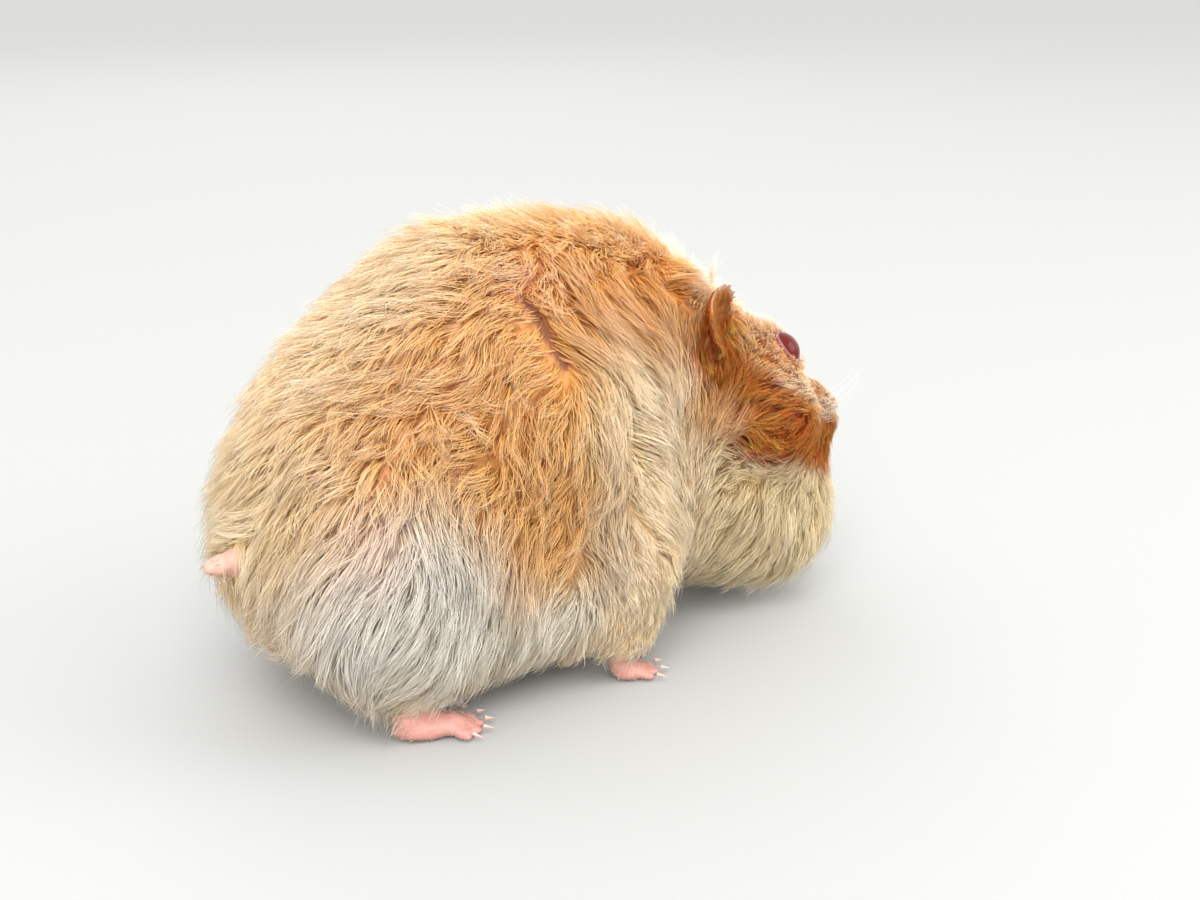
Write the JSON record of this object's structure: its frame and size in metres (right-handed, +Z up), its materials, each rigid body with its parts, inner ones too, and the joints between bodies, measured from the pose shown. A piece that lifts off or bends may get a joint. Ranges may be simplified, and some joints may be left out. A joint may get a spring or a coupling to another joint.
{
  "type": "syrian hamster",
  "caption": "Long-haired golden hamster standing with an arched back, lowered head and laid-back ears, as a still life-size model.",
  "frame": {"origin": "middle of the footprint, at the level of the floor", "axes": "+X towards the head, +Y to the animal's left, +Z up"},
  "size_m": [0.125, 0.0652, 0.0797],
  "materials": {
    "coat_golden": "long soft golden fur",
    "coat_cream": "long soft cream fur",
    "coat_russet": "short russet fur",
    "ear_skin": "thin grey-pink skin with fine down",
    "bare_skin": "pink skin with fine creases",
    "eye": "wet dark ruby",
    "claw": "smooth pale horn"
  },
  "bodies": {
    "root": {"trunk": "coat_golden", "chest": "coat_cream", "neck": "coat_golden", "head": "coat_russet", "tail": "bare_skin", "nose": "bare_skin", "hindleg_r": "coat_cream", "hindleg_l": "coat_cream", "foreleg_r": "coat_cream", "foreleg_l": "coat_cream", "eye_l": "eye", "ear_l": "ear_skin", "eye_r": "eye", "ear_r": "ear_skin", "forefoot_r": "bare_skin", "forefoot_r_claw_1": "claw", "forefoot_r_claw_2": "claw", "forefoot_r_claw_3": "claw", "forefoot_r_claw_4": "claw", "forefoot_l": "bare_skin", "forefoot_l_claw_1": "claw", "forefoot_l_claw_2": "claw", "forefoot_l_claw_3": "claw", "forefoot_l_claw_4": "claw", "hindfoot_r": "bare_skin", "hindfoot_r_claw_1": "claw", "hindfoot_r_claw_2": "claw", "hindfoot_r_claw_3": "claw", "hindfoot_r_claw_4": "claw", "hindfoot_r_claw_5": "claw", "hindfoot_l": "bare_skin", "hindfoot_l_claw_1": "claw", "hindfoot_l_claw_2": "claw", "hindfoot_l_claw_3": "claw", "hindfoot_l_claw_4": "claw", "hindfoot_l_claw_5": "claw"}
  },
  "joints": []
}
